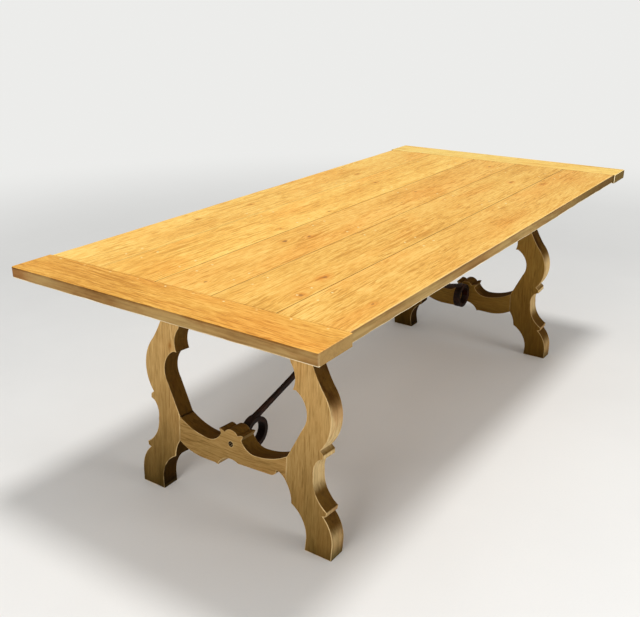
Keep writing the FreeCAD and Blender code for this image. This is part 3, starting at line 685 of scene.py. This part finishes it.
def turned_solid(profile, steps, flats=6):
    """Closed solid about Z through (radius, height) points, or (radius, height, 1) where it has flats."""
    maker = bmesh.new()
    rings = []
    for reach, height, *flat in profile:
        ring = []
        for step in range(steps):
            angle = 2 * math.pi * step / steps
            across = math.cos(math.pi / flats) / math.cos(angle % (2 * math.pi / flats) - math.pi / flats)
            radius = reach * across if flat else reach
            ring.append(maker.verts.new((radius * math.cos(angle), radius * math.sin(angle), height)))
        rings.append(ring)
    return skinned(maker, rings)


def set_along(maker, place, direction):
    """Turn a solid that stands on the origin so that it runs from a place in a direction."""
    maker.transform(Matrix.Translation(place) @ direction.to_track_quat("Z", "Y").to_matrix().to_4x4())


def eased_section(inner, outer, low, high, arrises, marks):
    """Points round a board's section, with a rounded arris at each corner.

    arrises and marks run: inner top, outer top, outer bottom, inner bottom.
    """
    corners = ((inner, high, 1, -1), (outer, high, -1, -1), (outer, low, -1, 1), (inner, low, 1, 1))
    starts = (180.0, 90.0, 0.0, 270.0)
    points = []
    for (side, level, inward, upward), start, arris, mark in zip(corners, starts, arrises, marks):
        for step in range(4):
            angle = math.radians(start - 30.0 * step)
            worn, dirty = mark if step in (1, 2) else (0.0, 0.0)
            points.append((side + inward * arris + arris * math.cos(angle),
                           level + upward * arris + arris * math.sin(angle), worn, dirty))
    return points


def worn_arris(base, place, corner, seed):
    """Arris that varies along the edge, as handling wears it."""
    soft = noise.noise(Vector((place * 2.3, corner * 7.1, seed)))
    fine = noise.noise(Vector((place * 17.0, corner * 3.7, seed + 5.0)))
    return base * max(0.45, 1.0 + 0.55 * soft + 0.5 * fine)


def stations_of(span, ease, corner):
    """Places of a board's sections along it, close together at its eased ends."""
    ends = [ease * (1 - math.cos(math.radians(angle))) for angle in (0, 30, 60, 90)]
    ends += [corner * share for share in (0.15, 0.3, 0.5, 0.75, 1.0)] if corner else []
    ends = sorted(set(round(end, 6) for end in ends))
    count = max(8, round(span / STATION_GAP))
    gap = ends[-1] + 0.004
    middle = [gap + (span - 2 * gap) * step / count for step in range(count + 1)]
    return ends + middle + [span - end for end in reversed(ends)]


def loft_board(name, axis, start, stop, inner, outer, low, high, arrises, marks, seed, corner=0.0,
               ease=0.0008, corner_pale=0.0):
    """Board swept along X (axis 0) or Y (axis 1) with eased ends and worn arrises."""
    span = stop - start
    outward = 1 if outer > inner else -1
    order = (0, 1, 2, 3) if outward > 0 else (1, 0, 3, 2)
    maker = bmesh.new()
    wear_and_glint_layer = maker.verts.layers.float.new("wear")
    dirt_layer = maker.verts.layers.float.new("dirt")
    rings = []
    for station in stations_of(span, ease, corner):
        near_end = min(station, span - station)
        inset, turned = 0.0, 0.0
        if near_end < ease:
            inset = ease * (1 - math.sqrt(max(0.0, 1 - (1 - near_end / ease) ** 2)))
        if corner and near_end < corner:
            turned = corner - math.sqrt(max(0.0, corner ** 2 - (corner - near_end) ** 2))
        place = start + station
        radii = [worn_arris(base, place, number, seed) for number, base in enumerate(arrises)]
        sides = (inner + outward * inset, outer - outward * (inset + turned))[::outward]
        section = eased_section(*sides, low + inset, high - inset, [radii[number] for number in order],
                                [marks[number] for number in order])
        ring = []
        for side, level, worn, dirty in section:
            # Rounded corners get a pale line, partly wear and partly a painted highlight
            if 0 < near_end < corner * 0.6 and min(abs(side - outer), abs(side - inner)) < corner * 1.2:
                worn = max(worn, corner_pale)
            vertex = maker.verts.new((place, side, level) if axis == 0 else (side, place, level))
            vertex[wear_and_glint_layer] = worn if near_end > 0 else 0.0
            vertex[dirt_layer] = dirty if near_end > 0 else 0.0
            ring.append(vertex)
        rings.append(ring)
    return evenly_shaded(piece_from(skinned(maker, rings), name))


def bore_through(piece, place, direction, radius, mouth):
    """Bore a round hole through a piece from a place on its face, wider down to the bolt's sunk end."""
    profile = ((mouth, -0.02), (mouth, MOUTH_DEPTH), (radius, MOUTH_DEPTH), (radius, 0.1))
    maker = turned_solid(profile, 32)
    set_along(maker, place, direction)
    cut_away(piece, maker, "bore")


def eased_copy(node, name, arris, segments=3, flat=None, hole=None):
    """Copy of a frame node with its flat faces whole and its hard edges eased.

    With flat only the outlines of the broad faces that look along it are eased. A hole, given by its
    place, direction, radius and the radius of its mouth, is closed for the easing and bored again.
    """
    maker = frame_mesh(node)
    if hole is not None:
        place, direction, radius, _ = hole
        inside = {vertex for vertex in maker.verts
                  if (vertex.co - place).cross(direction).length < radius + 0.001}
        walls = [face for face in maker.faces if inside.issuperset(face.verts)]
        bmesh.ops.delete(maker, geom=walls, context="FACES")
        bmesh.ops.holes_fill(maker, edges=[edge for edge in maker.edges if edge.is_boundary])
    bmesh.ops.dissolve_limit(maker, angle_limit=FLAT, verts=maker.verts, edges=maker.edges)
    hard = [edge for edge in maker.edges if edge.is_manifold and edge.calc_face_angle() > SHARP]
    if flat is not None:
        broad = {face for face in maker.faces
                 if abs(face.normal.dot(flat)) > 0.995 and face.calc_area() > BROAD}
        hard = [edge for edge in hard if len(broad.intersection(edge.link_faces)) == 1]
    layer = maker.verts.layers.float.new("wear")
    made = bmesh.ops.bevel(maker, geom=hard, offset=arris, segments=segments, profile=0.5, affect="EDGES",
                           clamp_overlap=False, miter_outer="ARC")
    rounded = set(made["faces"])
    for vertex in made["verts"]:
        if rounded.issuperset(vertex.link_faces):
            vertex[layer] = 1.0
    bmesh.ops.recalc_face_normals(maker, faces=maker.faces)
    piece = piece_from(maker, name)
    if hole is not None:
        bore_through(piece, *hole)
    return evenly_shaded(piece)


def placing_tree(name, material):
    """Geometry Nodes tree that sets a template on points, each with its own turn and width."""
    tree = bpy.data.node_groups.new(name + "_places", "GeometryNodeTree")
    for label, kind in (("Places", "Geometry"), ("Template", "Object"), ("Width", "Float"), ("Turn", "Float"),
                        ("Spread", "Float"), ("Seed", "Int")):
        tree.interface.new_socket(label, in_out="INPUT", socket_type="NodeSocket" + kind)
    tree.interface.new_socket("Pieces", in_out="OUTPUT", socket_type="NodeSocketGeometry")
    placing = Nodes(tree)
    given = placing.node("NodeGroupInput").outputs
    turn, spread, seed = given["Turn"], given["Spread"], given["Seed"]
    turns = {2: placing.times(turn, -1.0), 3: turn, "Seed": seed}
    widths = {2: placing.math("SUBTRACT", 1.0, spread), 3: placing.math("ADD", 1.0, spread), "Seed": seed}
    spin, grow = (placing.node("FunctionNodeRandomValue", span).outputs[1] for span in (turns, widths))
    wide = placing.times(grow, given["Width"])
    shape = placing.node("GeometryNodeObjectInfo", {"Object": given["Template"]}, transform_space="ORIGINAL")
    inputs = {"Points": given["Places"], "Instance": shape.outputs["Geometry"],
              "Rotation": placing.joined(0.0, 0.0, spin), "Scale": placing.joined(wide, wide, 1.0)}
    scattered = placing.node("GeometryNodeInstanceOnPoints", inputs).outputs[0]
    real = placing.node("GeometryNodeRealizeInstances", {0: scattered}).outputs[0]
    painted = placing.node("GeometryNodeSetMaterial", {"Geometry": real, "Material": material}).outputs[0]
    placing.node("NodeGroupOutput", {0: painted})
    return tree


def many_placed(name, places, template, material, width, seed, turn=math.pi, spread=0.1):
    """Like pieces set on their places by a Geometry Nodes tree, then made one plain mesh."""
    maker = bmesh.new()
    for place in places:
        maker.verts.new(place)
    carrier = piece_from(maker, name)
    tree = placing_tree(name, material)
    modifier = carrier.modifiers.new("places", "NODES")
    modifier.node_group = tree
    values = {"Template": template, "Width": width, "Turn": turn, "Spread": spread, "Seed": seed}
    for item in tree.interface.items_tree:
        if item.in_out == "INPUT" and item.name in values:
            modifier[item.identifier] = values[item.name]
    plain_mesh(carrier)
    bpy.data.objects.remove(template)
    shade(carrier, 40.0)
    return carrier


def solids_of(node):
    """Middle of each separate solid of a frame node, at its highest point."""
    maker = frame_mesh(node)
    left = set(maker.verts)
    places = []
    while left:
        group, edge = set(), [left.pop()]
        while edge:
            vertex = edge.pop()
            group.add(vertex)
            for link in vertex.link_edges:
                other = link.other_vert(vertex)
                if other in left:
                    left.discard(other)
                    edge.append(other)
        low, high = ([pick(vertex.co[axis] for vertex in group) for axis in range(3)] for pick in (min, max))
        places.append(((low[0] + high[0]) / 2, (low[1] + high[1]) / 2, high[2]))
    maker.free()
    return sorted(places)


def bolt_axis(end, sizes):
    """Middle of a stretcher bolt's outer end, the way that it runs and its length."""
    low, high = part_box("stretcher_bolt_" + end)
    way = -1 if end == "near" else 1
    lean, rise, shank = math.sin(SPLAY), math.cos(SPLAY), sizes.bolt_width / 2
    outer = low.x + shank * lean if way < 0 else high.x - shank * lean
    span = high.x - low.x - (shank + sizes.bolt_head_width / 2) * lean
    return Vector((outer, 0, high.z - shank * rise)), Vector((-way * rise, 0, -lean)), span / rise


def bolt_profile(sizes, span):
    """Half section of a bolt: its chamfered end, thread, plain shank and six-sided head."""
    shank, head, seat = sizes.bolt_width / 2, sizes.bolt_head_width / 2, span - sizes.bolt_head
    profile = [(shank * 0.45, 0.0), (shank - 0.0011, 0.0), (shank - 0.0003, 0.0009)]
    for turn in range(THREAD_TURNS):
        root = THREAD_START + THREAD_PITCH * turn
        profile += [(shank - THREAD_DEPTH, root), (shank, root + 0.0009)]
    return profile + [
        (shank, 0.0275), (shank, seat), (head * 0.82, seat), (head * 0.85, seat + 0.0003),
        (head * 0.97, seat + 0.0006, 1), (head, seat + 0.0013, 1), (head, span - 0.0016, 1),
        (head * 0.95, span - 0.0006, 1), (head * 0.8, span - 0.0001), (head * 0.3, span)]


def slotted_screw(name, reach, head_width, head, shank):
    """Screw with a slotted round head downwards, its tip at the origin."""
    half = head_width / 2
    seat = head - reach
    dome = [(half * math.cos(math.radians(angle)), -reach + head * 0.65 * (1 - math.sin(math.radians(angle))))
            for angle in (88, 72, 54, 36, 18, 0)]
    profile = dome + [(half, seat - head * 0.08), (half * 0.94, seat), (shank / 2, seat), (shank / 2, -0.004),
                      (shank * 0.1, 0.0)]
    screw = piece_from(turned_solid(profile, 24), name)
    maker = bmesh.new()
    bmesh.ops.create_cube(maker, size=1.0)
    slot = Matrix.Diagonal((head_width * 1.2, 0.0013, head * 0.8, 1.0))
    maker.transform(Matrix.Translation((0, 0, -reach)) @ slot)
    cut_away(screw, maker, "slot")
    return screw


# Operators

class TABLE_OT_stage(bpy.types.Operator):
    """Set the camera, the pale floor and the soft lights"""
    bl_idname = "table.stage"
    bl_label = "Stage"

    def execute(self, context):
        colours = context.scene.table_colours
        camera = bpy.data.cameras.new("photo_view")
        camera.sensor_fit = "HORIZONTAL"
        camera.sensor_width = 36.0
        camera.lens = CAMERA_LENS
        camera.clip_end = 200.0
        viewer = bpy.data.objects.new("photo_view", camera)
        turn = Euler(CAMERA_TURN).to_quaternion()
        viewer.matrix_world = Matrix.LocRotScale(Vector(CAMERA_PLACE), turn, None)
        context.scene.collection.objects.link(viewer)
        context.scene.camera = viewer

        maker = bmesh.new()
        bmesh.ops.create_circle(maker, cap_ends=True, radius=FLOOR_RADIUS, segments=96)
        floor = piece_from(maker, "floor")
        floor.data.materials.append(pale_floor("pale_floor", colours))

        world = bpy.data.worlds.new("studio")
        context.scene.world = world
        sky = Nodes(world)
        seen = sky.node("Background", {"Color": rgba(colours.backdrop)}).outputs[0]
        soft = sky.node("Background", {"Color": rgba(SKY), "Strength": SKY_STRENGTH}).outputs[0]
        camera_ray = sky.node("LightPath").outputs["Is Camera Ray"]
        chosen = sky.node("MixShader", {0: camera_ray, 1: soft, 2: seen}).outputs[0]
        sky.node("OutputWorld", {0: chosen})

        for name, place, power, size in LAMPS:
            light = bpy.data.lights.new(name, "AREA")
            light.shape = "DISK"
            light.size = size
            light.energy = power
            lamp = bpy.data.objects.new(name, light)
            lamp.location = place
            lamp.rotation_euler = (Vector((0, 0, AIM_Z)) - lamp.location).to_track_quat("-Z", "Y").to_euler()
            context.scene.collection.objects.link(lamp)
        context.scene.view_settings.view_transform = "Standard"
        return {"FINISHED"}


class TABLE_OT_planks(bpy.types.Operator):
    """Lay the five worn planks of the top"""
    bl_idname = "table.planks"
    bl_label = "Planks"

    def execute(self, context):
        sizes, colours = settings()
        seam, outer = sizes.seam_arris, sizes.outer_arris
        upper, lower = outer * UPPER_ROUND, outer * LOWER_ROUND
        for number, node in enumerate(PLANKS):
            low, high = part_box(node)
            # shares: the plank's shade, partly painted light
            shares, (left_dirt, right_dirt) = SHADES[number]
            left_end, right_end = number == 0, number == len(PLANKS) - 1
            right_seam, left_seam = (seam * (0.35 + 0.65 * dirt) for dirt in (right_dirt, left_dirt))
            arrises = [upper if right_end else right_seam, upper if left_end else left_seam,
                       lower if left_end else seam, lower if right_end else seam]
            # The outer lower arris is marked fully pale: wear and a painted highlight along it
            marks = [(UPPER_WEAR * right_end, right_dirt), (UPPER_WEAR * left_end, left_dirt),
                     (float(left_end), left_dirt), (float(right_end), right_dirt)]
            piece = loft_board(
                f"plank_{number + 1}", 0, -SHOULDER_X, SHOULDER_X, low.y, high.y, UNDERSIDE_Z,
                TOP_Z - sizes.top_sink, arrises, marks, 3.0 + number)
            middle = (0.0, (low.y + high.y) / 2, TOP_Z)
            knots = [(x, y - middle[1], radius, red) for x, y, radius, red in KNOTS[number]]
            material = wood(
                f"plank_{number + 1}_wood", 11.0 * number + 2.0, middle, (1, 0, 0), (0, 1, 0),
                [shaded(tone, *shares) for tone in tones_of("plank")], colours.top_edge, knots,
                pith=0.05 + 0.022 * number, tilt=0.015 * (number - 2), under=colours.leg_dark,
                half=(SHOULDER_X, (high.y - low.y) / 2), clouds=STAINS[number],
                seams=(left_dirt, right_dirt), arris_paleness=1.0, contrast=1.12)
            finish_piece(piece, material, "plank", node)
        return {"FINISHED"}


class TABLE_OT_breadboards(bpy.types.Operator):
    """Fit the breadboard ends, worn round at their outer edges"""
    bl_idname = "table.breadboards"
    bl_label = "Breadboard ends"

    def execute(self, context):
        sizes, colours = settings()
        seam, outer = sizes.seam_arris, sizes.outer_arris
        # The far end's sides are painted much darker, as painted shade
        looks = (("end", colours.top_edge, 0.0, 0.08, 1.2),
                 ("far_end", shaded(colours.top_edge, *FAR_END_SIDE_SHADE), 0.6, 0.9, 1.0))
        for end, (kind, sides, upper_wear, corner_pale, contrast) in zip(ENDS, looks):
            node = "breadboard_end_" + end
            low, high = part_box(node)
            inner_x, outer_x = (high.x, low.x) if end == "near" else (low.x, high.x)
            # The outer lower arris is marked pale, wear and a painted highlight; the rounded corners get a
            # pale line, partly a painted highlight
            piece = loft_board(
                "breadboard_" + end, 1, low.y, high.y, inner_x, outer_x, low.z, high.z - sizes.top_sink * 0.6,
                (seam, outer, outer * 1.5, seam), ((0.0, 0.8), (upper_wear, 0.0), (1.0, 0.0), (0.0, 0.8)),
                20.0 + low.x, corner=sizes.corner, ease=0.0012, corner_pale=corner_pale)
            middle = ((low.x + high.x) / 2, 0.0, high.z)
            material = wood(
                f"breadboard_{end}_wood", 71.0 + low.x, middle, (0, 1, 0), (-1, 0, 0), tones_of(kind), sides,
                pith=0.05, tilt=0.03, under=colours.leg_dark, clouds=END_CLOUDS[end], arris_paleness=1.0,
                contrast=contrast)
            finish_piece(piece, material, "breadboard", node)
        return {"FINISHED"}


class TABLE_OT_pegs(bpy.types.Operator):
    """Drive the shaved pegs of the seams and the breadboard ends"""
    bl_idname = "table.pegs"
    bl_label = "Pegs"

    def execute(self, context):
        sizes, colours = settings()
        for node, name, tinted in (("plank_pegs", "seam_pegs", 0.3), ("breadboard_pegs", "end_pegs", 0.85)):
            material = peg_wood(name + "_wood", colours.peg, tinted)
            low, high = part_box(node)
            depth = high.z - low.z
            maker = turned_solid(((0.42, -depth), (0.5, -depth + 0.003), (0.5, -0.0005), (0.42, 0.0)), 8)
            template = piece_from(maker, "peg_template")
            pieces = many_placed(name, solids_of(node), template, material, sizes.peg_width, sizes.peg_seed)
            finish_piece(pieces, material, "peg", node)
        return {"FINISHED"}


class TABLE_OT_legs(bpy.types.Operator):
    """Shape the four lyre legs with eased edges"""
    bl_idname = "table.legs"
    bl_label = "Legs"

    def execute(self, context):
        sizes, colours = settings()
        for end, way, upward, room in trestles():
            # Each side's painted shade: how dark its foot is, and how dark its edges are from low down to
            # under the top
            for side, sideways, *darkening in (("left", 1, 0.9, (0.45, 0.1)), ("right", -1, 0.25, (0.0, 1.0))):
                node = f"leg_{side}_{end}"
                low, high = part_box(node)
                piece = eased_copy(node, f"lyre_leg_{side}_{end}", sizes.trestle_arris, flat=room)
                middle = ((low.x + high.x) / 2, (low.y + high.y) / 2, 0.35)
                knots = [(0.13, 0.235 - abs(middle[1]), 0.007, 0.0)] if node == "leg_left_near" else []
                material = wood(
                    node + "_wood", 5.0 * way + 31.0 * sideways + 80.0, middle, upward, (0, 1, 0),
                    tones_of("leg"), colours.leg_edge, knots, pith=0.07, tilt=0.05 * sideways, contrast=0.55,
                    gloss=0.04, room=room, pale=Vector((0, 0.6 * sideways, -0.8)), foot_shade=darkening[0],
                    edge_shade_range=darkening[1], arris_paleness=0.85 if end == "near" else 0.4)
                finish_piece(piece, material, "leg", node)
        return {"FINISHED"}


class TABLE_OT_crossbars(bpy.types.Operator):
    """Shape the two scalloped crossbars"""
    bl_idname = "table.crossbars"
    bl_label = "Crossbars"

    def execute(self, context):
        sizes, colours = settings()
        mouth = sizes.bolt_mouth / 2
        for end, way, upward, room in trestles():
            node = "crossbar_" + end
            low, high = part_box(node)
            bolt_end = bolt_axis(end, sizes)[0]
            hole = (bolt_end + BOLT_DEPTH * room, -room, sizes.bolt_hole / 2, mouth)
            piece = eased_copy(node, "scalloped_" + node, sizes.trestle_arris * 0.8, flat=room, hole=hole)
            # Edges facing down get the lit tone and the others the shaded one, as painted light and shade;
            # faces turned from the outside get painted shade
            material = wood(
                node + "_wood", 140.0 + 9.0 * way, (low + high) / 2, (0, 1, 0), upward, tones_of("leg"),
                colours.leg_edge, pith=0.06, tilt=0.06, contrast=0.6, gloss=0.04, room=room,
                pale=Vector((0, 0, -1)), bore=(bolt_end, mouth), arris_paleness=0.8 if end == "near" else 0.3)
            finish_piece(piece, material, "crossbar", node)
        return {"FINISHED"}


class TABLE_OT_battens(bpy.types.Operator):
    """Fit the battens under the top"""
    bl_idname = "table.battens"
    bl_label = "Battens"

    def execute(self, context):
        sizes, colours = settings()
        for end, way, upward, _ in trestles():
            node = "top_batten_" + end
            low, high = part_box(node)
            piece = eased_copy(node, "batten_" + end, sizes.trestle_arris * 0.6)
            # The battens' edges take the shaded edge tone, with painted shade on faces turned from the
            # outside and on edges under the top
            material = wood(
                f"batten_{end}_wood", 170.0 + 9.0 * way, (low + high) / 2, (0, 1, 0), upward, tones_of("leg"),
                colours.leg_inner_edge, pith=0.05, contrast=0.8, room=Vector((way, 0, 0)))
            finish_piece(piece, material, "batten", node)
        return {"FINISHED"}


class TABLE_OT_stretchers(bpy.types.Operator):
    """Forge the two iron stretchers with their rings"""
    bl_idname = "table.stretchers"
    bl_label = "Iron stretchers"

    def execute(self, context):
        sizes, colours = settings()
        material = forged_iron("forged_iron", colours.iron, colours.rust)
        for end in ENDS:
            node = "iron_stretcher_" + end
            piece = eased_copy(node, "forged_stretcher_" + end, sizes.iron_arris, segments=2)
            finish_piece(piece, material, "iron", node)
        return {"FINISHED"}


class TABLE_OT_bolts(bpy.types.Operator):
    """Turn the bolts and cut the square washers that hold the stretchers"""
    bl_idname = "table.bolts"
    bl_label = "Bolts and washers"

    def execute(self, context):
        sizes, colours = settings()
        # Darker than the stretchers' iron, as painted shade for the sunk ends and the heads inside the rings
        material = forged_iron("bolt_iron", colours.bolt_iron, colours.bolt_rust, gloss=0.02)
        for end in ENDS:
            place, direction, span = bolt_axis(end, sizes)
            maker = turned_solid(bolt_profile(sizes, span), 36)
            set_along(maker, place, direction)
            bolt = piece_from(maker, "hex_bolt_" + end)
            shade(bolt, 28.0)
            finish_piece(bolt, material, "fastener", "stretcher_bolt_" + end)
            washer = eased_copy("stretcher_washer_" + end, "square_washer_" + end, 0.0006, segments=2)
            finish_piece(washer, material, "fastener", "stretcher_washer_" + end)
        return {"FINISHED"}


class TABLE_OT_screws(bpy.types.Operator):
    """Drive the slotted screws of the battens and the stretchers' palms"""
    bl_idname = "table.screws"
    bl_label = "Screws"

    def execute(self, context):
        sizes, colours = settings()
        material = darkened_steel("screw_steel", colours.steel)
        kinds = (("batten_screws_", sizes.batten_screw, 0.0045, 0.006),
                 ("palm_screws_", sizes.palm_screw, 0.003, 0.005))
        for end in ENDS:
            for kind, head_width, head, shank in kinds:
                node = kind + end
                low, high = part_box(node)
                template = slotted_screw("screw_template", high.z - low.z, head_width, head, shank)
                screws = many_placed("slotted_" + node, solids_of(node), template, material, 1.0,
                                     sizes.peg_seed, spread=0.0)
                finish_piece(screws, material, "fastener", node)
        return {"FINISHED"}


class TABLE_OT_tenons(bpy.types.Operator):
    """Finish the loose tenons inside the seams"""
    bl_idname = "table.tenons"
    bl_label = "Tenons"

    def execute(self, context):
        tones = tones_of("leg")
        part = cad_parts["plank_tenons"]
        part.data.materials.clear()
        material = wood("tenon_wood", 210.0, (0, 0, 0), (0, 1, 0), (-1, 0, 0), tones, tones[2])
        part.data.materials.append(material)
        return {"FINISHED"}


OPERATORS = (TABLE_OT_stage, TABLE_OT_planks, TABLE_OT_breadboards, TABLE_OT_pegs, TABLE_OT_legs,
             TABLE_OT_crossbars, TABLE_OT_battens, TABLE_OT_stretchers, TABLE_OT_bolts, TABLE_OT_screws,
             TABLE_OT_tenons)


class TABLE_PT_parts(bpy.types.Panel):
    """Lists the pieces of the table in the order in which they are made"""
    bl_idname = "TABLE_PT_parts"
    bl_label = "Farmhouse Table"
    bl_space_type = "VIEW_3D"
    bl_region_type = "UI"
    bl_category = "Table"

    def draw(self, context):
        for group in (context.scene.table_sizes, context.scene.table_colours):
            box = self.layout.box()
            for key in group.__annotations__:
                box.prop(group, key)
        for operator in OPERATORS:
            self.layout.operator(operator.bl_idname)


CLASSES = (TableSizes, TableColours) + OPERATORS + (TABLE_PT_parts,)


def register():
    for each in CLASSES:
        bpy.utils.register_class(each)
    bpy.types.Scene.table_sizes = PointerProperty(type=TableSizes)
    bpy.types.Scene.table_colours = PointerProperty(type=TableColours)


def unregister():
    del bpy.types.Scene.table_colours
    del bpy.types.Scene.table_sizes
    for each in reversed(CLASSES):
        bpy.utils.unregister_class(each)


def main():
    register()
    for operator in OPERATORS:
        group, name = operator.bl_idname.split(".")
        getattr(getattr(bpy.ops, group), name)()


if __name__ == "__main__":
    main()
